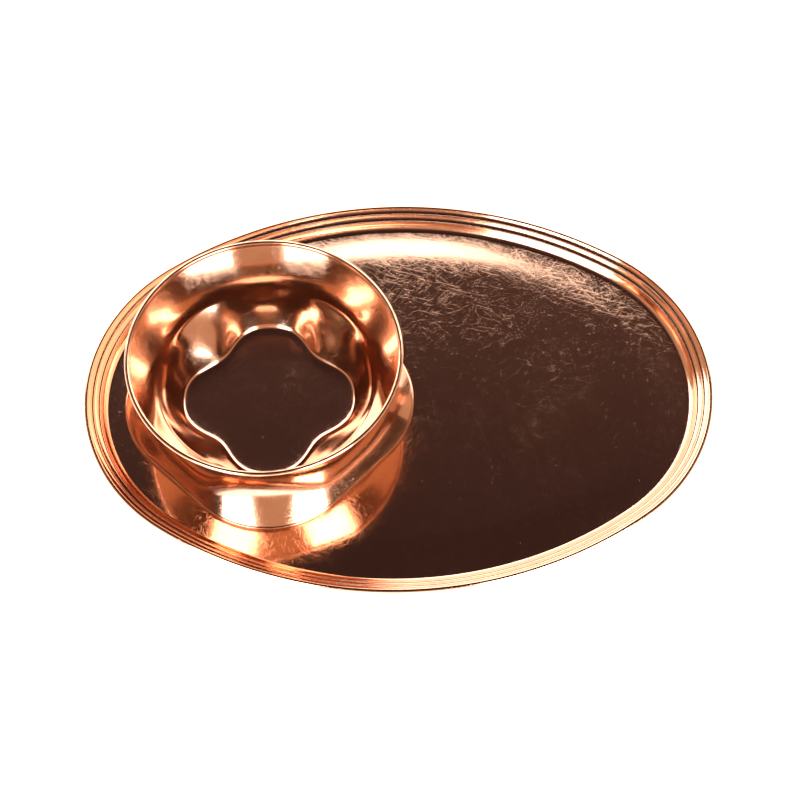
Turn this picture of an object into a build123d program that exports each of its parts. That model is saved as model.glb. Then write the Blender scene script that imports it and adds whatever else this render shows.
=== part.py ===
"""Oval copper offering plate with a loose, four-lobed bowl standing on it (millimetres, +Z up).

The origin is on the tray's underside, in the middle of the oval. +X runs along the tray.
Tray: a pressed pan whose moulded border is rolled over a wire.
Bowl: a pressed cup with four dents, a flared foot brazed round its waist, and round wires
brazed along the lip and under the foot.
"""
import os
from math import atan2, cos, degrees, hypot, pi, radians, sin, sqrt

from build123d import *

os.makedirs("parts", exist_ok=True)

# ---- sheet -----------------------------------------------------------------
SHEET = 0.8                      # copper sheet, tray and bowl alike
SKIN = 1.0                       # level width of the bowl's sloping sheet

# ---- tray ------------------------------------------------------------------
WIRE = 1.2                       # copper wire inside the tray's rolled edge
ROLL = WIRE + 2 * SHEET          # outside diameter of the rolled edge
TRAY_LENGTH = 356.0
TRAY_WIDTH = 256.0
TRAY_END_RADIUS = 105.0          # the two blunt ends of the four-centred oval
BORDER_WIDTH = 12.4              # from the outer edge in to the crease round the floor
BORDER_HEIGHT = 9.8              # from the floor's top face up to the top of the rolled edge
COVE_WIDTH = 3.6                 # the hollow that rises from the crease
COVE_HEIGHT = 3.7
COVE_BELLY = 0.55                # how far the hollow bows below its chord
REED_WIDTH = 0.9                 # each of the two small reeds between the bands
REED_STAND = 0.35                # how far a reed stands above the bands
BAND_SAG = 0.18                  # how far each flat band is dished
ROLL_TUCK = 0.8                  # the upper band meets the roll this share of ROLL inwards
ROLL_DROP = 0.3                  # and this share of ROLL below its top
UNDER_SHIFT = 0.4                # sideways shift of the cove's underside, in sheets
COVE_SHIFT = 0.6                 # the same at the cove's upper end
FLOOR_LAP = 3.0                  # flat ring that the border section shares with the floor

# ---- bowl ------------------------------------------------------------------
BOWL_X = -73.6                   # where the bowl stands on the tray
BOWL_Y = -2.7
RIM_RADIUS = 76.0
RIM_WIRE = 2.8                   # round wire brazed along the cup's lip
BOWL_HEIGHT = 53.0               # from the tray's floor up to the top of the rim
STAND_GAP = 0.1                  # free space between the foot's edge and the tray's floor
CUP_FLOOR = 1.4                  # inside face of the cup's floor, above the tray's floor
FLOOR_LOBE = 48.5                # radius of the cup's floor at its four lobes
WALL_LEAN = 9.5                  # how far the wall's steady lean carries it out
LOWER_SPREAD = 7.5               # extra spread of the lowest part of the wall
LOWER_END = 0.28                 # share of the cup's depth where that part ends
LOWER_SOFTNESS = 0.10
FLARE_START = 0.56               # share of the depth where the wall turns out to the rim
FLARE_SOFTNESS = 0.10
DENT_DEPTH = 9.6                 # how far each dent pushes the wall in, at the floor
DENT_TOP = 0.47                  # share of the depth where the dents run out
DENT_SOFTNESS = 0.10
DENT_NARROWING = 1.6             # above 1, the lobes are broader than the dents
WIRE_GRIP = 0.45                 # share of the rim wire that stands above the wall's end
NECK_HEIGHT = 31.0               # height of the foot's upper edge, where it grips the cup
NECK_DIP = 3.0                   # how far the foot follows the dents, at half its height
FOOT_LOBE = 82.0                 # radius over the foot's edge at its four lobes
FOOT_NOTCH = 73.0                # distance to the straight sides between the lobes
FOOT_WIRE = 2.6                  # wire brazed under the foot's edge, which the bowl stands on
FOOT_GRIP = 0.9                  # share of the foot wire that lies below the wall's end
FOOT_POWER = 2.0                 # how sharply the foot curves out towards its edge
SEAM = 1.4                       # height of the brazed fillet round the neck
SECTION_POINTS = 48              # spline points in a lobed section
CUP_SECTIONS = 15
FOOT_SECTIONS = 7

# ---- values that follow ----------------------------------------------------
half_length = TRAY_LENGTH / 2
half_width = TRAY_WIDTH / 2
end_centre = half_length - TRAY_END_RADIUS
side_radius = (half_length**2 + half_width**2 - 2 * half_length * TRAY_END_RADIUS) / (
    2 * (half_width - TRAY_END_RADIUS)
)
side_centre = side_radius - half_width
end_half_angle = degrees(atan2(side_centre, end_centre))
side_half_angle = 90 - end_half_angle
edge_roll_height = SHEET + BORDER_HEIGHT - ROLL / 2

base = SHEET + STAND_GAP         # height of the foot's lowest point
cup_floor = SHEET + CUP_FLOOR
rim_wire_radius = RIM_RADIUS - RIM_WIRE / 2
rim_wire_height = SHEET + BOWL_HEIGHT - RIM_WIRE / 2
cup_mouth = rim_wire_radius - SKIN / 2
cup_depth = rim_wire_height - cup_floor
cup_edge = rim_wire_height - RIM_WIRE * WIRE_GRIP
mouth_flare = cup_mouth - FLOOR_LOBE - WALL_LEAN - LOWER_SPREAD
foot_end = base + FOOT_WIRE * FOOT_GRIP
foot_top = SHEET + NECK_HEIGHT
corner_offset = (FOOT_LOBE - FOOT_NOTCH) / (1 - sqrt(0.5))     # centres of the foot's four lobes
corner_radius = FOOT_LOBE - corner_offset
bowl_axis = Axis((BOWL_X, BOWL_Y, 0), (0, 0, 1))
bowl_plane = Plane(origin=(BOWL_X, BOWL_Y, 0), x_dir=(1, 0, 0), z_dir=(0, -1, 0))


def soft_positive(value, softness):
    """max(value, 0), with its corner rounded."""
    return (value + hypot(value, softness)) / 2


def dent_share(angle):
    """0 in the middle of a lobe and 1 in the middle of a dent."""
    return ((1 - cos(4 * angle)) / 2) ** DENT_NARROWING


def cup_radius(angle, height):
    """Inside radius of the cup's wall."""
    level = min(max((height - cup_floor) / cup_depth, 0.0), 1.0)
    lower = 1 - soft_positive(LOWER_END - level, LOWER_SOFTNESS) / soft_positive(
        LOWER_END, LOWER_SOFTNESS
    )
    flare = soft_positive(level - FLARE_START, FLARE_SOFTNESS) / soft_positive(
        1 - FLARE_START, FLARE_SOFTNESS
    )
    dent = soft_positive(1 - (level / DENT_TOP) ** 2, DENT_SOFTNESS) * dent_share(angle)
    straight = FLOOR_LOBE + WALL_LEAN * level + LOWER_SPREAD * lower
    return straight + mouth_flare * flare - DENT_DEPTH * dent


def foot_outline(angle):
    """Radius of the foot's rounded square, down the middle of its wire."""
    turn = abs((angle + pi / 4) % (pi / 2) - pi / 4)
    radius = corner_radius - FOOT_WIRE / 2
    reach = corner_offset + radius * sqrt(0.5)
    if turn > atan2(radius * sqrt(0.5), reach):
        return (FOOT_NOTCH - FOOT_WIRE / 2) / cos(pi / 4 - turn)
    return corner_offset * cos(turn) + sqrt(radius**2 - (corner_offset * sin(turn)) ** 2)


def foot_radius(angle, height):
    """Inside radius of the foot's wall."""
    neck = cup_radius(0, foot_top) + SKIN
    drop = min(max((foot_top - height) / (foot_top - foot_end), 0.0), 1.0)
    edge = foot_outline(angle) - SKIN / 2
    dip = NECK_DIP * sin(pi * drop) * dent_share(angle)
    return neck + (edge - neck) * drop**FOOT_POWER - dip


def lobed_section(radius_at, height, skin):
    """A closed section of the bowl at one height, with skin added to its radius."""
    angles = [2 * pi * k / SECTION_POINTS for k in range(SECTION_POINTS)]
    radii = [radius_at(angle, height) + skin for angle in angles]
    points = [
        (BOWL_X + radius * cos(angle), BOWL_Y + radius * sin(angle))
        for radius, angle in zip(radii, angles)
    ]
    with BuildSketch(Plane.XY.offset(height)) as section:
        with BuildLine():
            Spline(points, periodic=True)
        make_face()
    return section.sketch


def heights(low, high, count):
    """Evenly spaced heights with both ends."""
    return [low + (high - low) * k / (count - 1) for k in range(count)]


def border_path(inward):
    """The oval's four tangent arcs, this far in from its edge: (centre, radius, start, sweep)."""
    end_sweep = 2 * end_half_angle
    side_sweep = 2 * side_half_angle
    end_reach = TRAY_END_RADIUS - inward
    side_reach = side_radius - inward
    return [
        ((end_centre, 0), end_reach, -end_half_angle, end_sweep),
        ((0, -side_centre), side_reach, end_half_angle, side_sweep),
        ((-end_centre, 0), end_reach, 180 - end_half_angle, end_sweep),
        ((0, side_centre), side_reach, 180 + end_half_angle, side_sweep),
    ]


def start_plane(centre, angle):
    """Upright plane through an arc's centre, with its x axis out along the angle."""
    out = (cos(radians(angle)), sin(radians(angle)), 0)
    return Plane(origin=(centre[0], centre[1], 0), x_dir=out, z_dir=(out[1], -out[0], 0))


# ---- tray pan --------------------------------------------------------------
# Border section, as (distance in from the outer edge, height above the floor's top face).
cove_end = (BORDER_WIDTH - COVE_WIDTH, COVE_HEIGHT)
roll_foot = (ROLL * ROLL_TUCK, BORDER_HEIGHT - ROLL * ROLL_DROP)
band_run = (cove_end[0] - roll_foot[0] - 2 * REED_WIDTH) / 2
climb = (roll_foot[1] - cove_end[1]) / (cove_end[0] - roll_foot[0])
slope_length = hypot(1, climb)


def on_slope(inward, stand):
    """A point on the sloping bands, lifted off them by stand."""
    rise = roll_foot[1] - climb * (inward - roll_foot[0])
    return (inward + stand * climb / slope_length, rise + stand / slope_length)


reed_1 = cove_end[0] - REED_WIDTH
band_1 = reed_1 - band_run
reed_2 = band_1 - REED_WIDTH
cove_middle = ((BORDER_WIDTH + cove_end[0]) / 2 - COVE_BELLY, COVE_HEIGHT / 2 - COVE_BELLY)

with BuildPart() as tray_pan:
    with BuildSketch():
        for arc_centre, reach, begin, sweep in border_path(BORDER_WIDTH):
            with BuildLine():
                edge = CenterArc(arc_centre, reach, begin, sweep)
                Polyline(edge @ 0, (0, 0), edge @ 1)
            make_face()
    extrude(amount=SHEET)
    for arc_centre, reach, begin, sweep in border_path(0):
        plane = start_plane(arc_centre, begin)

        def place(point, reach=reach):
            """A border point in the section's plane."""
            return (reach - point[0], SHEET + point[1])

        with BuildSketch(plane):
            with BuildLine():
                crease = place((BORDER_WIDTH, 0))
                lap = place((BORDER_WIDTH + FLOOR_LAP, 0))
                Line(lap, crease)
                ThreePointArc(crease, place(cove_middle), place(cove_end))
                for low, high in ((cove_end[0], reed_1), (band_1, reed_2)):
                    top = place(on_slope((low + high) / 2, REED_STAND))
                    ThreePointArc(place(on_slope(low, 0)), top, place(on_slope(high, 0)))
                for low, high in ((reed_1, band_1), (reed_2, roll_foot[0])):
                    dish = place(on_slope((low + high) / 2, -BAND_SAG))
                    ThreePointArc(place(on_slope(low, 0)), dish, place(on_slope(high, 0)))
                under_roll = place(on_slope(roll_foot[0], -SHEET))
                under_cove = place((cove_end[0] - SHEET * COVE_SHIFT, cove_end[1] - SHEET))
                under_crease = (crease[0] + SHEET * UNDER_SHIFT, 0)
                Line(place(roll_foot), under_roll)
                Line(under_roll, under_cove)
                belly = place((cove_middle[0] - SHEET * UNDER_SHIFT, cove_middle[1] - SHEET))
                ThreePointArc(under_cove, belly, under_crease)
                Polyline(under_crease, (lap[0], 0), lap)
            make_face()
            with Locations((reach - ROLL / 2, edge_roll_height)):
                Circle(ROLL / 2)
                Circle(WIRE / 2, mode=Mode.SUBTRACT)
        revolve(axis=Axis((*arc_centre, 0), (0, 0, 1)), revolution_arc=sweep)
tray_pan.part.label = "tray_pan"
export_step(tray_pan.part, "parts/tray_pan.step")

with BuildPart() as tray_edge_wire:
    for arc_centre, reach, begin, sweep in border_path(ROLL / 2):
        with BuildSketch(start_plane(arc_centre, begin)):
            with Locations((reach, edge_roll_height)):
                Circle(WIRE / 2)
        revolve(axis=Axis((*arc_centre, 0), (0, 0, 1)), revolution_arc=sweep)
tray_edge_wire.part.label = "tray_edge_wire"
export_step(tray_edge_wire.part, "parts/tray_edge_wire.step")

# ---- bowl cup --------------------------------------------------------------
with BuildPart() as bowl_cup:
    for height in heights(cup_floor - SHEET, cup_edge, CUP_SECTIONS):
        add(lobed_section(cup_radius, height, SKIN))
    loft()
    cavity = [
        lobed_section(cup_radius, height, 0)
        for height in heights(cup_floor, cup_edge, CUP_SECTIONS)
    ]
    loft(cavity, mode=Mode.SUBTRACT)
bowl_cup.part.label = "bowl_cup"
export_step(bowl_cup.part, "parts/bowl_cup.step")

with BuildPart() as bowl_rim_wire:
    with BuildSketch(bowl_plane):
        with Locations((rim_wire_radius, rim_wire_height)):
            Circle(RIM_WIRE / 2)
    revolve(axis=bowl_axis)
bowl_rim_wire.part.label = "bowl_rim_wire"
export_step(bowl_rim_wire.part, "parts/bowl_rim_wire.step")

# ---- bowl foot -------------------------------------------------------------
with BuildPart() as bowl_foot:
    for height in heights(foot_end, foot_top, FOOT_SECTIONS):
        add(lobed_section(foot_radius, height, SKIN))
    loft()
    hollow = [
        lobed_section(foot_radius, height, 0)
        for height in heights(foot_end, foot_top, FOOT_SECTIONS)
    ]
    loft(hollow, mode=Mode.SUBTRACT)
bowl_foot.part.label = "bowl_foot"
export_step(bowl_foot.part, "parts/bowl_foot.step")

with BuildPart() as bowl_foot_wire:
    for turn in range(4):
        out = Vector(1, 0).rotate(Axis.Z, 90 * turn)
        lobe = Vector(BOWL_X, BOWL_Y) + out * corner_offset
        begin = out.rotate(Axis.Z, -45)
        with BuildSketch(Plane(lobe, x_dir=begin, z_dir=begin.rotate(Axis.Z, -90))):
            with Locations((corner_radius - FOOT_WIRE / 2, base + FOOT_WIRE / 2)):
                Circle(FOOT_WIRE / 2)
        revolve(axis=Axis(lobe, (0, 0, 1)), revolution_arc=90)
        end = out.rotate(Axis.Z, 45)
        with BuildSketch(Plane(lobe, x_dir=end, z_dir=end.rotate(Axis.Z, -90))):
            with Locations((corner_radius - FOOT_WIRE / 2, base + FOOT_WIRE / 2)):
                Circle(FOOT_WIRE / 2)
        extrude(amount=-corner_offset * sqrt(2))
bowl_foot_wire.part.label = "bowl_foot_wire"
export_step(bowl_foot_wire.part, "parts/bowl_foot_wire.step")

# ---- brazed seam between the foot's upper edge and the cup -----------------
with BuildPart() as bowl_seam:
    with BuildSketch(bowl_plane):
        neck = cup_radius(0, foot_top) + SKIN
        with BuildLine():
            high = (cup_radius(0, foot_top + SEAM) + SKIN, foot_top + SEAM)
            Polyline(high, (neck, foot_top), (neck + SKIN, foot_top), close=True)
        make_face()
    revolve(axis=bowl_axis)
bowl_seam.part.label = "bowl_seam"
export_step(bowl_seam.part, "parts/bowl_seam.step")
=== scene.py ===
"""Looks for the oval copper offering tray and its loose four-lobed bowl (metres, +Z up).

The CAD frame gives the places and the outer sizes. Every piece that shows is remade here as a
fine, smooth mesh, because polished copper shows each facet of a coarse one.
"""
from math import atan2, cos, pi, radians, sin, sqrt, tan

import bpy
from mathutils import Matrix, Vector


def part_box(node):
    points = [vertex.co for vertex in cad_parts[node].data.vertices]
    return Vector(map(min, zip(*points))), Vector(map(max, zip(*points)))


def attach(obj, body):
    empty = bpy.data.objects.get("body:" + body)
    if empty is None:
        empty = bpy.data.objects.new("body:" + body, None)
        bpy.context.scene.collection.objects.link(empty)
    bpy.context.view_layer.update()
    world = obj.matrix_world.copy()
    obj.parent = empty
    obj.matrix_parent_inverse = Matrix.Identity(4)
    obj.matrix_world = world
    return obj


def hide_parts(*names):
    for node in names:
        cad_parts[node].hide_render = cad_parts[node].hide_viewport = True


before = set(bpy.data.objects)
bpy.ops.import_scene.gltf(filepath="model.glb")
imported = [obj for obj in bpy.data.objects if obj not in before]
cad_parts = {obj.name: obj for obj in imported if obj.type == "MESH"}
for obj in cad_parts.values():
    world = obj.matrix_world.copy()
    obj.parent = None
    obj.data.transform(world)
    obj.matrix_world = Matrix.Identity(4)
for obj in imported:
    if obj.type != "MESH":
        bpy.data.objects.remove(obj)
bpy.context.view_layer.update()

MM = 0.001

# ---- sizes, in millimetres, as in the CAD ------------------------------------
SHEET = 0.8
WIRE = 1.2
ROLL = WIRE + 2 * SHEET
SKIN = 1.0

TRAY_END_RADIUS = 105.0
BORDER_WIDTH = 12.4
COVE_WIDTH = 3.6
COVE_HEIGHT = 3.7
COVE_BELLY = 0.55
REED_WIDTH = 0.9
REED_STAND = 0.35
BAND_SAG = 0.18

RIM_WIRE = 2.8
STAND_GAP = 0.1
CUP_FLOOR = 1.4
FLOOR_LOBE = 48.5
WALL_LEAN = 9.5                  # how far the wall's steady lean carries it out
LOWER_SPREAD = 7.5               # extra spread of the lowest part of the wall
LOWER_END = 0.28                 # share of the depth where that part ends
LOWER_SOFTNESS = 0.10
FLARE_START = 0.56               # share of the depth where the wall turns out to the rim
FLARE_SOFTNESS = 0.10
DENT_DEPTH = 9.6
DENT_TOP = 0.47
DENT_SOFTNESS = 0.10
DENT_NARROWING = 1.6
NECK_HEIGHT = 31.0
NECK_DIP = 3.0
FOOT_LOBE = 82.0
FOOT_NOTCH = 73.0
FOOT_WIRE = 2.6
FOOT_GRIP = 0.9                  # how far up its wire the foot's wall starts, in wire thicknesses
FOOT_POWER = 2.0                 # how the foot's wall curves out
SEAM = 1.4

# ---- sizes that only the look has, in millimetres ------------------------------
CROWN_WIDTH = 27.0               # the tray's floor falls away over this width, to the crease
CROWN_FALL = 0.55
COVE_UNDER_SHIFT = 0.35          # how far out the cove's underside sits
LIP_LEVEL = 0.98                 # share of the depth where the wall stops, inside the rim's wire
FLOOR_FILLET = 2.4               # softening where the bowl's floor meets its wall
SEAM_HOLLOW = 0.42               # share of the seam at the middle of its hollow face
SEAM_BITE = 0.3                  # how far the seam reaches into the walls
# where the bowl floor's rings lie, as shares of its radius, closer together towards its edge
CUP_FLOOR_SHARES = (0.02, 0.06, 0.12, 0.2, 0.3, 0.4, 0.5, 0.58, 0.66, 0.72, 0.77, 0.81, 0.845,
                    0.875, 0.9, 0.92, 0.938, 0.954, 0.968, 0.98, 0.99)

# ---- places taken from the frame ---------------------------------------------
tray_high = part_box("tray_pan")[1] / MM
rim_low, rim_high = (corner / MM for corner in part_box("bowl_rim_wire"))
half_length = tray_high.x
half_width = tray_high.y
bowl_x = (rim_low.x + rim_high.x) / 2
bowl_y = (rim_low.y + rim_high.y) / 2
border_height = tray_high.z - SHEET
end_centre = half_length - TRAY_END_RADIUS
side_radius = (half_length**2 + half_width**2 - 2 * half_length * TRAY_END_RADIUS) / (
    2 * (half_width - TRAY_END_RADIUS)
)
side_centre = side_radius - half_width
end_half_angle = atan2(side_centre, end_centre)

base = SHEET + STAND_GAP
cup_floor = SHEET + CUP_FLOOR
rim_wire_radius = (rim_high.x - rim_low.x) / 2 - RIM_WIRE / 2
rim_wire_height = rim_high.z - RIM_WIRE / 2
cup_mouth = rim_wire_radius - SKIN / 2
cup_depth = rim_wire_height - cup_floor
mouth_flare = cup_mouth - FLOOR_LOBE - WALL_LEAN - LOWER_SPREAD
foot_end = base + FOOT_WIRE * FOOT_GRIP
foot_top = SHEET + NECK_HEIGHT
corner_offset = (FOOT_LOBE - FOOT_NOTCH) / (1 - sqrt(0.5))
corner_radius = FOOT_LOBE - corner_offset


# ---- helpers -------------------------------------------------------------------
def soft_positive(value, softness):
    """max(value, 0), with its corner rounded."""
    return (value + sqrt(value * value + softness * softness)) / 2


def steps(low, high, count):
    """Evenly spaced values with both ends."""
    return [low + (high - low) * k / (count - 1) for k in range(count)]


def arc_points(first, middle, last, count):
    """Points along the arc through three points, both ends included."""
    ax, ay = first
    bx, by = middle
    cx, cy = last
    d = 2 * (ax * (by - cy) + bx * (cy - ay) + cx * (ay - by))
    a2, b2, c2 = ax * ax + ay * ay, bx * bx + by * by, cx * cx + cy * cy
    ox = (a2 * (by - cy) + b2 * (cy - ay) + c2 * (ay - by)) / d
    oy = (a2 * (cx - bx) + b2 * (ax - cx) + c2 * (bx - ax)) / d
    radius = sqrt((ax - ox) ** 2 + (ay - oy) ** 2)
    start, mid, end = (atan2(y - oy, x - ox) for x, y in (first, middle, last))
    sweep = (end - start) % (2 * pi)
    if (mid - start) % (2 * pi) > sweep:
        sweep -= 2 * pi
    return [
        (ox + radius * cos(start + sweep * t), oy + radius * sin(start + sweep * t))
        for t in steps(0, 1, count)
    ]


def circle_points(centre, radius, start, end, count):
    """Points round a circle between two angles in degrees."""
    return [
        (centre[0] + radius * cos(radians(t)), centre[1] + radius * sin(radians(t)))
        for t in steps(start, end, count)
    ]


def ring_mesh(name, rings, closed_section=False, cap_first=False, cap_last=False):
    """A mesh from rings of points, each ring closed and all rings of one length."""
    count = len(rings[0])
    points = [tuple(c * MM for c in point) for ring in rings for point in ring]
    faces = []
    pairs = [(i, i + 1) for i in range(len(rings) - 1)]
    if closed_section:
        pairs.append((len(rings) - 1, 0))
    for low, high in pairs:
        for k in range(count):
            after = (k + 1) % count
            faces.append(
                (low * count + k, low * count + after, high * count + after, high * count + k)
            )
    for wanted, ring_index in ((cap_first, 0), (cap_last, len(rings) - 1)):
        if wanted:
            x, y, z = (
                sum(rings[ring_index][k][axis] for k in range(count)) / count * MM
                for axis in range(3)
            )
            points.append((x, y, z))
            middle = len(points) - 1
            for k in range(count):
                after = (k + 1) % count
                pair = (ring_index * count + k, ring_index * count + after)
                if ring_index == 0:
                    pair = pair[::-1]
                faces.append((middle, *pair))
    mesh = bpy.data.meshes.new(name)
    mesh.from_pydata(points, [], faces)
    mesh.validate()
    mesh.polygons.foreach_set("use_smooth", [True] * len(mesh.polygons))
    mesh.update()
    piece = bpy.data.objects.new(name, mesh)
    bpy.context.scene.collection.objects.link(piece)
    return piece


# ---- shapes of the bowl --------------------------------------------------------
def dent_share(angle):
    """0 in the middle of a lobe and 1 in the middle of a dent."""
    return ((1 - cos(4 * angle)) / 2) ** DENT_NARROWING


def wall_radius(angle, level):
    """Inside radius of the cup's wall; level is 0 at the floor and 1 at the mouth."""
    lower = 1 - soft_positive(LOWER_END - level, LOWER_SOFTNESS) / soft_positive(
        LOWER_END, LOWER_SOFTNESS
    )
    flare = soft_positive(level - FLARE_START, FLARE_SOFTNESS) / soft_positive(
        1 - FLARE_START, FLARE_SOFTNESS
    )
    dent = soft_positive(1 - (level / DENT_TOP) ** 2, DENT_SOFTNESS) * dent_share(angle)
    straight = FLOOR_LOBE + WALL_LEAN * level + LOWER_SPREAD * lower
    return straight + mouth_flare * flare - DENT_DEPTH * dent


def cup_section(angle):
    """(radius, height) from the middle of the floor, up, over the rim and back underneath."""
    corner = wall_radius(angle, 0)
    lean = (LOWER_SPREAD / LOWER_END + WALL_LEAN) / cup_depth
    section = []
    for share in CUP_FLOOR_SHARES:
        drop = (share - 1) * corner / lean
        section.append((corner * share, cup_floor + soft_positive(drop, FLOOR_FILLET)))
    for level in steps(0, LIP_LEVEL, 84):
        rise = level * cup_depth
        section.append((wall_radius(angle, level), cup_floor + soft_positive(rise, FLOOR_FILLET)))
    for level in steps(LIP_LEVEL, 0, 60):
        height = cup_floor + level * cup_depth - SHEET / 2
        section.append((wall_radius(angle, level) + SKIN, height))
    for share in [0.9, 0.7, 0.5, 0.3, 0.1]:
        section.append((corner * share, cup_floor - SHEET))
    return section


def foot_outline(angle):
    """Radius of the foot's rounded square, down the middle of its wire."""
    turn = abs((angle + pi / 4) % (pi / 2) - pi / 4)
    radius = corner_radius - FOOT_WIRE / 2
    reach = corner_offset + radius * sqrt(0.5)
    if turn > atan2(radius * sqrt(0.5), reach):
        return (FOOT_NOTCH - FOOT_WIRE / 2) / cos(pi / 4 - turn)
    return corner_offset * cos(turn) + sqrt(radius**2 - (corner_offset * sin(turn)) ** 2)


def foot_radius(angle, height):
    """Inside radius of the foot's wall."""
    neck = wall_radius(0, (foot_top - cup_floor) / cup_depth) + SKIN
    drop = min(max((foot_top - height) / (foot_top - foot_end), 0.0), 1.0)
    edge = foot_outline(angle) - SKIN / 2
    dip = NECK_DIP * sin(pi * drop) * dent_share(angle)
    return neck + (edge - neck) * drop**FOOT_POWER - dip


def foot_section(angle):
    """(radius, height) down the outside of the foot and up the inside."""
    heights = steps(foot_top, foot_end, 60)
    outside = [(foot_radius(angle, h) + SKIN, h) for h in heights]
    inside = [(foot_radius(angle, h), h) for h in reversed(heights)]
    return outside + inside


def rim_wire_section(angle):
    """(radius, height) round the wire along the lip."""
    return circle_points((rim_wire_radius, rim_wire_height), RIM_WIRE / 2, 0, 350, 36)


def foot_wire_section(angle):
    """(radius, height) round the wire under the foot."""
    return circle_points((foot_outline(angle), base + FOOT_WIRE / 2), FOOT_WIRE / 2, 0, 345, 24)


def seam_section(angle):
    """(radius, height) round the brazed fillet."""
    neck = wall_radius(0, (foot_top - cup_floor) / cup_depth) + SKIN
    high = wall_radius(0, (foot_top + SEAM - cup_floor) / cup_depth) + SKIN
    hollow = (neck + SEAM * SEAM_HOLLOW, foot_top + SEAM * SEAM_HOLLOW)
    inside = [(neck - SEAM_BITE, foot_top - SEAM_BITE), (high - SEAM_BITE, foot_top + SEAM)]
    return inside + arc_points(
        (high, foot_top + SEAM), hollow, (neck + SKIN, foot_top), 9
    )


def turned(name, section_at, count, **caps):
    """A piece made by carrying a section round the bowl's axis."""
    angles = [2 * pi * k / count for k in range(count)]
    sections = [section_at(angle) for angle in angles]
    rings = [
        [
            (bowl_x + section[i][0] * cos(a), bowl_y + section[i][0] * sin(a), section[i][1])
            for section, a in zip(sections, angles)
        ]
        for i in range(len(sections[0]))
    ]
    return ring_mesh(name, rings, **caps)


# ---- shape of the tray ---------------------------------------------------------
def border_section():
    """(distance in from the edge, height) from the crease, over the roll and back underneath."""
    cove_end = (BORDER_WIDTH - COVE_WIDTH, COVE_HEIGHT)
    roll_foot = (ROLL * 0.8, border_height - ROLL * 0.3)
    band_run = (cove_end[0] - roll_foot[0] - 2 * REED_WIDTH) / 2
    climb = (roll_foot[1] - cove_end[1]) / (cove_end[0] - roll_foot[0])
    slope_length = sqrt(1 + climb * climb)

    def on_slope(inward, stand):
        rise = roll_foot[1] - climb * (inward - roll_foot[0])
        return (inward + stand * climb / slope_length, rise + stand / slope_length)

    def bowed(start, end, stand, count):
        """An arc between two places on the slope, standing proud or dished."""
        return arc_points(
            on_slope(start, 0), on_slope((start + end) / 2, stand), on_slope(end, 0), count
        )[1:]

    middle = ((BORDER_WIDTH + cove_end[0]) / 2 - COVE_BELLY, COVE_HEIGHT / 2 - COVE_BELLY)
    reed_1 = cove_end[0] - REED_WIDTH
    band_1 = reed_1 - band_run
    reed_2 = band_1 - REED_WIDTH
    top = arc_points((BORDER_WIDTH, -CROWN_FALL), middle, cove_end, 16)
    top += bowed(cove_end[0], reed_1, REED_STAND, 9)
    top += bowed(reed_1, band_1, -BAND_SAG, 9)
    top += bowed(band_1, reed_2, REED_STAND, 9)
    top += bowed(reed_2, roll_foot[0], -BAND_SAG, 9)
    roll_centre = (ROLL / 2, border_height - ROLL / 2)
    top += circle_points(roll_centre, ROLL / 2, 24, 300, 30)
    cove = arc_points(cove_end, middle, (BORDER_WIDTH, 0.0), 8)
    under = [(inward - COVE_UNDER_SHIFT, height - SHEET) for inward, height in cove]
    return top + [on_slope(ROLL * 1.05, -SHEET)] + under


def oval(inward):
    """Points round the four-arc oval, this far in from the tray's edge."""
    points = []
    side_half_angle = pi / 2 - end_half_angle
    arcs = (
        ((end_centre, 0), TRAY_END_RADIUS, -end_half_angle, 2 * end_half_angle, 220),
        ((0, -side_centre), side_radius, end_half_angle, 2 * side_half_angle, 150),
        ((-end_centre, 0), TRAY_END_RADIUS, pi - end_half_angle, 2 * end_half_angle, 220),
        ((0, side_centre), side_radius, pi + end_half_angle, 2 * side_half_angle, 150),
    )
    for centre, radius, begin, sweep, count in arcs:
        for k in range(count):
            angle = begin + sweep * k / count
            reach = radius - inward
            points.append((centre[0] + reach * cos(angle), centre[1] + reach * sin(angle)))
    return points


def tray():
    """The whole pan as one closed shell."""
    rings = []
    inner = oval(BORDER_WIDTH + CROWN_WIDTH)
    for share in (0.04, 0.15, 0.3, 0.45, 0.6, 0.75, 0.87, 0.95):
        rings.append([(x * share, y * share, SHEET) for x, y in inner])
    for share in steps(1, 0, 30)[:-1]:
        fall = CROWN_FALL * (1 + cos(pi * share)) / 2
        rings.append([(x, y, SHEET - fall) for x, y in oval(BORDER_WIDTH + CROWN_WIDTH * share)])
    for inward, height in border_section():
        rings.append([(x, y, SHEET + height) for x, y in oval(inward)])
    for share in (0.95, 0.75, 0.5, 0.25, 0.04):
        rings.append([(x * share, y * share, 0.0) for x, y in inner])
    return ring_mesh("tray_shell", rings, cap_first=True, cap_last=True)


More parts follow.
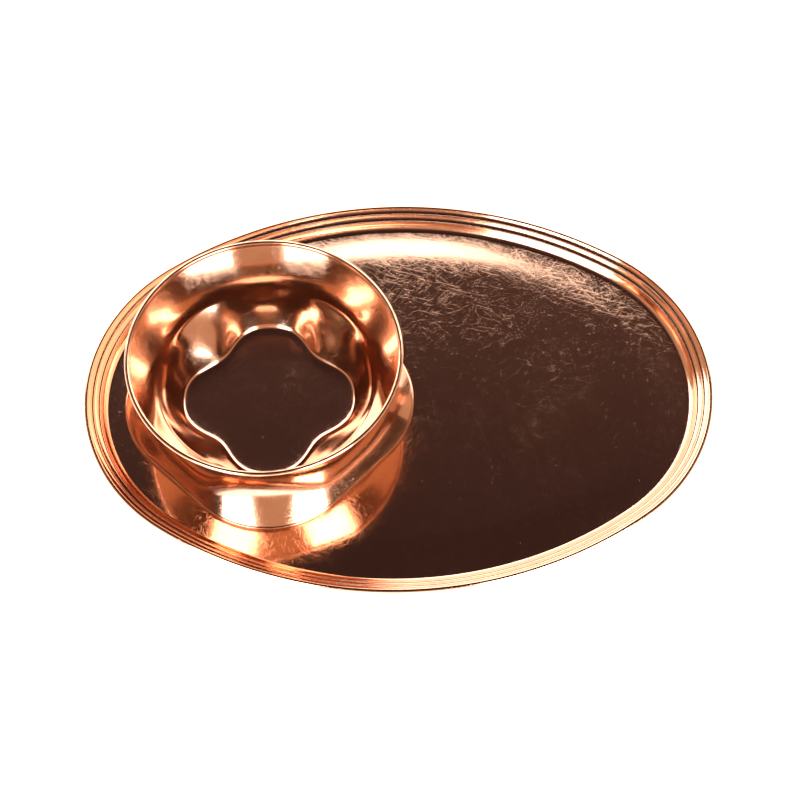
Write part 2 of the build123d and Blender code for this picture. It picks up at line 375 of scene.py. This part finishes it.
# ---- materials -------------------------------------------------------------------
class Surface:
    """A node material under construction, with its shader and short-hands for its nodes."""

    def __init__(self, name):
        self.material = bpy.data.materials.new(name)
        self.material.use_nodes = True
        self.tree = self.material.node_tree
        self.shader = self.tree.nodes["Principled BSDF"]
        self.shader.inputs["Metallic"].default_value = 1
        self.place = self.tree.nodes.new("ShaderNodeTexCoord").outputs["Object"]

    def node(self, kind, inputs, output=0, **settings):
        """A new node with its inputs linked or set; returns one of its outputs."""
        node = self.tree.nodes.new("ShaderNode" + kind)
        for key, value in settings.items():
            setattr(node, key, value)
        for key, value in inputs.items():
            if isinstance(value, bpy.types.NodeSocket):
                self.tree.links.new(value, node.inputs[key])
            else:
                node.inputs[key].default_value = value
        return node.outputs[output]

    def noise(self, scale, detail=2, vector=None, distortion=0.0, rough=0.5):
        return self.node("TexNoise", {
            "Vector": vector or self.place, "Scale": scale, "Detail": detail,
            "Roughness": rough, "Distortion": distortion,
        })

    def math(self, operation, first, second=0.0):
        return self.node("Math", {0: first, 1: second}, operation=operation)

    def range(self, value, low, high, to_low=0.0, to_high=1.0):
        return self.node("MapRange", {
            "Value": value, "From Min": low, "From Max": high, "To Min": to_low, "To Max": to_high,
        })

    def drawn_out(self, turn, factor):
        """Object coordinates that draw a texture out along a line turned about Z."""
        return self.node("Mapping", {
            "Vector": self.place, "Rotation": (0, 0, radians(turn)), "Scale": (1, factor, 1),
        }, vector_type="TEXTURE")

    def hairlines(self, scale, width, distortion, gate_scale, gate):
        """Fine, broken lines that wander: 1 on a line and 0 off it."""
        level = self.math("ABSOLUTE", self.math(
            "SUBTRACT", self.noise(scale, 2, None, distortion), 0.5))
        line = self.range(level, 0.0, width, 1.0, 0.0)
        shown = self.range(self.noise(gate_scale, 3), gate, gate + 0.06)
        return self.math("MULTIPLY", line, shown)

    def rings(self, scale):
        """Turning marks: noise that runs round the bowl's axis."""
        flat = self.node("VectorMath", {
            0: self.place, 1: (-bowl_x * MM, -bowl_y * MM, 0),
        }, operation="ADD")
        parts = self.tree.nodes.new("ShaderNodeSeparateXYZ")
        self.tree.links.new(flat, parts.inputs[0])
        reach = self.math("SQRT", self.math(
            "ADD", self.math("POWER", parts.outputs["X"], 2.0),
            self.math("POWER", parts.outputs["Y"], 2.0)))
        sideways = self.math("MULTIPLY", parts.outputs["X"], 0.04)
        ring_place = self.node("CombineXYZ", {"X": reach, "Y": sideways, "Z": parts.outputs["Z"]})
        return self.noise(scale, 3, ring_place)

    def total(self, *values):
        whole = values[0]
        for value in values[1:]:
            whole = self.math("ADD", whole, value)
        return whole

    def scaled(self, value, factor):
        return self.math("MULTIPLY", value, factor)

    def colours(self, mask, first, second):
        """The base colour, mixed between two by a mask."""
        mixed = self.node("Mix", {"Factor": mask, 6: (*first, 1), 7: (*second, 1)}, output=2,
                          data_type="RGBA")
        self.tree.links.new(mixed, self.shader.inputs["Base Color"])

    def finish(self, roughness, height, depth):
        self.tree.links.new(roughness, self.shader.inputs["Roughness"])
        bump = self.node("Bump", {"Height": height, "Distance": depth, "Strength": 1.0})
        self.tree.links.new(bump, self.shader.inputs["Normal"])
        return self.material


COPPER = (0.95, 0.56, 0.38)
COPPER_DULL = (0.88, 0.49, 0.33)
COPPER_STAIN = (0.70, 0.36, 0.23)
BRAZING = (0.86, 0.58, 0.36)


def sheet_copper(name, ripple, brushing, gloss, haze, marks):
    """Polished copper sheet: hand-polished ripple, broken hairline scratches, faint stains."""
    s = Surface(name)
    streaks = [
        s.range(s.noise(reach, 1, s.drawn_out(turn, factor), 0.2), high, high + 0.08)
        for turn, reach, factor, high in (
            (17, 3000, 60, 0.64), (-38, 3600, 45, 0.65), (71, 3300, 60, 0.65),
            (-74, 3800, 40, 0.65), (44, 2800, 80, 0.65), (-8, 3500, 30, 0.66),
        )
    ]
    curls = s.hairlines(310, 0.005, 1.2, 260, 0.52)
    worn = s.range(s.noise(18, 5), 0.34, 0.66, 0.45, 1.0)
    scratches = s.math("MULTIPLY", s.total(*streaks, s.scaled(curls, 0.25)), worn)
    clouds = s.noise(34, 6, None, 0.8, 0.62)
    specks = s.range(s.noise(900, 1), 0.73, 0.78)
    turning = s.rings(1500) if brushing else s.noise(900, 2, s.drawn_out(80, 12))
    s.colours(s.range(clouds, 0.35, 0.72), COPPER, COPPER_DULL)
    roughness = s.total(
        s.range(clouds, 0.3, 0.7, gloss, gloss + haze),
        s.scaled(scratches, marks), s.scaled(specks, 0.15),
        s.range(turning, 0.35, 0.7, 0.0, brushing + 0.015),
    )
    height = s.total(
        s.scaled(s.noise(26, 1), ripple), s.scaled(s.noise(75, 1), ripple * 0.22),
        s.scaled(scratches, -0.0056), s.scaled(specks, -0.012),
        s.scaled(turning, 0.004 + brushing * 0.05),
    )
    return s.finish(roughness, height, MM)


def drawn_wire(name, gloss):
    """Round copper wire with draw marks and a darker, worn skin."""
    s = Surface(name)
    worn = s.noise(160, 4, None, 0.5)
    marks = s.rings(2600)
    s.colours(s.range(worn, 0.4, 0.7), COPPER, COPPER_STAIN)
    roughness = s.total(s.range(worn, 0.35, 0.7, gloss, gloss + 0.10), s.scaled(marks, 0.04))
    return s.finish(roughness, s.total(s.scaled(worn, 0.03), s.scaled(marks, 0.012)), MM)


def brazing(name):
    """A dressed brazing fillet: slightly paler, with small ripples and pinholes."""
    s = Surface(name)
    ripples = s.noise(420, 3, None, 1.0)
    pits = s.range(s.noise(1300, 1), 0.70, 0.76)
    s.colours(s.range(ripples, 0.4, 0.65), BRAZING, COPPER_STAIN)
    roughness = s.total(s.range(ripples, 0.3, 0.7, 0.14, 0.26), s.scaled(pits, 0.2))
    return s.finish(roughness, s.total(s.scaled(ripples, 0.08), s.scaled(pits, -0.05)), MM)


tray_copper = sheet_copper("polished_copper_tray", 0.016, 0.0, 0.052, 0.03, 0.070)
bowl_copper = sheet_copper("polished_copper_bowl", 0.026, 0.02, 0.050, 0.03, 0.05)
wire_copper = drawn_wire("copper_wire", 0.09)
brazing_alloy = brazing("brazing_alloy")


def dress(piece, material, body, node=None):
    """Gives a piece its material and its body, and hides the CAD part it stands for."""
    piece.data.materials.clear()
    piece.data.materials.append(material)
    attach(piece, body)
    if node:
        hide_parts(node)


# ---- pieces ------------------------------------------------------------------------
dress(tray(), tray_copper, "tray", "tray_pan")
dress(turned("cup_shell", cup_section, 480, cap_first=True, cap_last=True),
      bowl_copper, "bowl", "bowl_cup")
dress(turned("rim_bead", rim_wire_section, 480, closed_section=True),
      wire_copper, "bowl", "bowl_rim_wire")
dress(turned("foot_shell", foot_section, 480, closed_section=True),
      bowl_copper, "bowl", "bowl_foot")
dress(turned("foot_edge", foot_wire_section, 480, closed_section=True),
      wire_copper, "bowl", "bowl_foot_wire")
dress(turned("neck_seam", seam_section, 240, closed_section=True),
      brazing_alloy, "bowl", "bowl_seam")
hidden_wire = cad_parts["tray_edge_wire"]
hidden_wire.data.materials.clear()
hidden_wire.data.materials.append(wire_copper)

# ---- studio --------------------------------------------------------------------------
CAMERA_ELEVATION = radians(59.0)
CAMERA_YAW = radians(1.72)
CAMERA_DISTANCE = 1.0207
CAMERA_TARGET = Vector((0.00054, -0.00336, 0.0008))
CAMERA_LENS = 80.585


def emission(name, colour, strength, fade=None):
    """A glowing surface; fade is (measure, near, far, strength from far on)."""
    material = bpy.data.materials.new(name)
    material.use_nodes = True
    tree = material.node_tree
    tree.nodes.clear()
    glow = tree.nodes.new("ShaderNodeEmission")
    glow.inputs["Color"].default_value = (*colour, 1)
    glow.inputs["Strength"].default_value = strength
    out = tree.nodes.new("ShaderNodeOutputMaterial")
    tree.links.new(glow.outputs[0], out.inputs["Surface"])
    if fade:
        measure, near, far, far_strength = fade
        place = tree.nodes.new("ShaderNodeTexCoord")
        if measure == "height":
            reach = tree.nodes.new("ShaderNodeSeparateXYZ")
            distance = reach.outputs["Z"]
        else:
            reach = tree.nodes.new("ShaderNodeVectorMath")
            reach.operation = "LENGTH"
            distance = reach.outputs["Value"]
        level = tree.nodes.new("ShaderNodeMapRange")
        for end, value in (("From Min", near), ("From Max", far),
                           ("To Min", strength), ("To Max", far_strength)):
            level.inputs[end].default_value = value
        tree.links.new(place.outputs["Object"], reach.inputs[0])
        tree.links.new(distance, level.inputs["Value"])
        tree.links.new(level.outputs["Result"], glow.inputs["Strength"])
    return material


def stage_sheet(name, corners, material):
    """A flat sheet of the studio."""
    mesh = bpy.data.meshes.new(name)
    mesh.from_pydata(corners, [], [tuple(range(len(corners)))])
    mesh.materials.append(material)
    sheet = bpy.data.objects.new(name, mesh)
    bpy.context.scene.collection.objects.link(sheet)
    return sheet


# The floor glows brightest close to the bowl and dimmer further out, a painted pool of light; the
# backdrop glows brighter towards its top, painted light.
backdrop_white = emission("backdrop_white", (1.0, 0.99, 0.97), 2.3, ("height", 0.55, 1.04, 4.0))
floor_white = emission("floor_white", (1.0, 0.97, 0.94), 2.6, ("reach", 0.34, 0.9, 0.85))
softbox_white = emission("softbox_white", (1.0, 0.97, 0.93), 9.0)
flag_dark = emission("flag_dark", (0.085, 0.045, 0.032), 1.0)
FLOOR_HALF = 1.6
BACK = 1.1
BACKDROP_HALF = 1.59
BACKDROP_TOP = 1.247
CARD_DISTANCE = 1.5
stage_sheet("studio_floor", [(-FLOOR_HALF, -FLOOR_HALF, 0), (FLOOR_HALF, -FLOOR_HALF, 0),
                             (FLOOR_HALF, BACK, 0), (-FLOOR_HALF, BACK, 0)], floor_white)
stage_sheet("studio_backdrop", [(-BACKDROP_HALF, BACK, 0), (BACKDROP_HALF, BACK, 0),
                                (BACKDROP_HALF, BACK, BACKDROP_TOP),
                                (-BACKDROP_HALF, BACK, BACKDROP_TOP)], backdrop_white)


def card(name, azimuth, half_angle, low, high, material):
    """An upright studio sheet that faces the bowl; azimuth in degrees, clockwise from +Y."""
    middle = Vector((bowl_x * MM, bowl_y * MM, 0))
    out = Vector((sin(radians(azimuth)), cos(radians(azimuth)), 0))
    across = Vector((out.y, -out.x, 0)) * CARD_DISTANCE * tan(radians(half_angle))
    foot = middle + out * CARD_DISTANCE
    corners = [foot - across + Vector((0, 0, low)), foot + across + Vector((0, 0, low)),
               foot + across + Vector((0, 0, high)), foot - across + Vector((0, 0, high))]
    stage_sheet(name, corners, material)


card("softbox_left", -148, 15, 0.02, 1.30, softbox_white)
card("softbox_right", 142, 17, 0.02, 1.30, softbox_white)
card("flag_left", -112, 20, 0.0, 0.60, flag_dark)
card("flag_right", 100, 20, 0.0, 0.42, flag_dark)

ROOM_LOW = (0.60, 0.38, 0.25, 1)         # the lit, warm lower part of the room
ROOM_HIGH = (0.085, 0.054, 0.052, 1)     # the dark ceiling
ROOM_TOP = (0.040, 0.025, 0.024, 1)
world = bpy.data.worlds.new("studio_room")
world.use_nodes = True
tree = world.node_tree
direction = tree.nodes.new("ShaderNodeTexCoord")
height = tree.nodes.new("ShaderNodeSeparateXYZ")
ramp = tree.nodes.new("ShaderNodeValToRGB")
tree.links.new(direction.outputs["Generated"], height.inputs[0])
tree.links.new(height.outputs["Z"], ramp.inputs["Fac"])
tree.links.new(ramp.outputs["Color"], tree.nodes["Background"].inputs["Color"])
ramp.color_ramp.elements[0].position = 0.55
ramp.color_ramp.elements[0].color = ROOM_LOW
ramp.color_ramp.elements[1].position = 0.76
ramp.color_ramp.elements[1].color = ROOM_HIGH
ramp.color_ramp.elements.new(0.90).color = ROOM_TOP
tree.nodes["Background"].inputs["Strength"].default_value = 1.0
bpy.context.scene.world = world

camera_data = bpy.data.cameras.new("camera")
camera_data.lens = CAMERA_LENS
camera_data.sensor_width = 36
camera_data.clip_start = 0.05
camera = bpy.data.objects.new("camera", camera_data)
back = Vector((-sin(CAMERA_YAW) * cos(CAMERA_ELEVATION), -cos(CAMERA_YAW) * cos(CAMERA_ELEVATION),
               sin(CAMERA_ELEVATION)))
camera.location = CAMERA_TARGET + back * CAMERA_DISTANCE
camera.rotation_euler = (-back).to_track_quat("-Z", "Y").to_euler()
bpy.context.scene.collection.objects.link(camera)
bpy.context.scene.camera = camera
bpy.context.scene.view_settings.view_transform = "Standard"
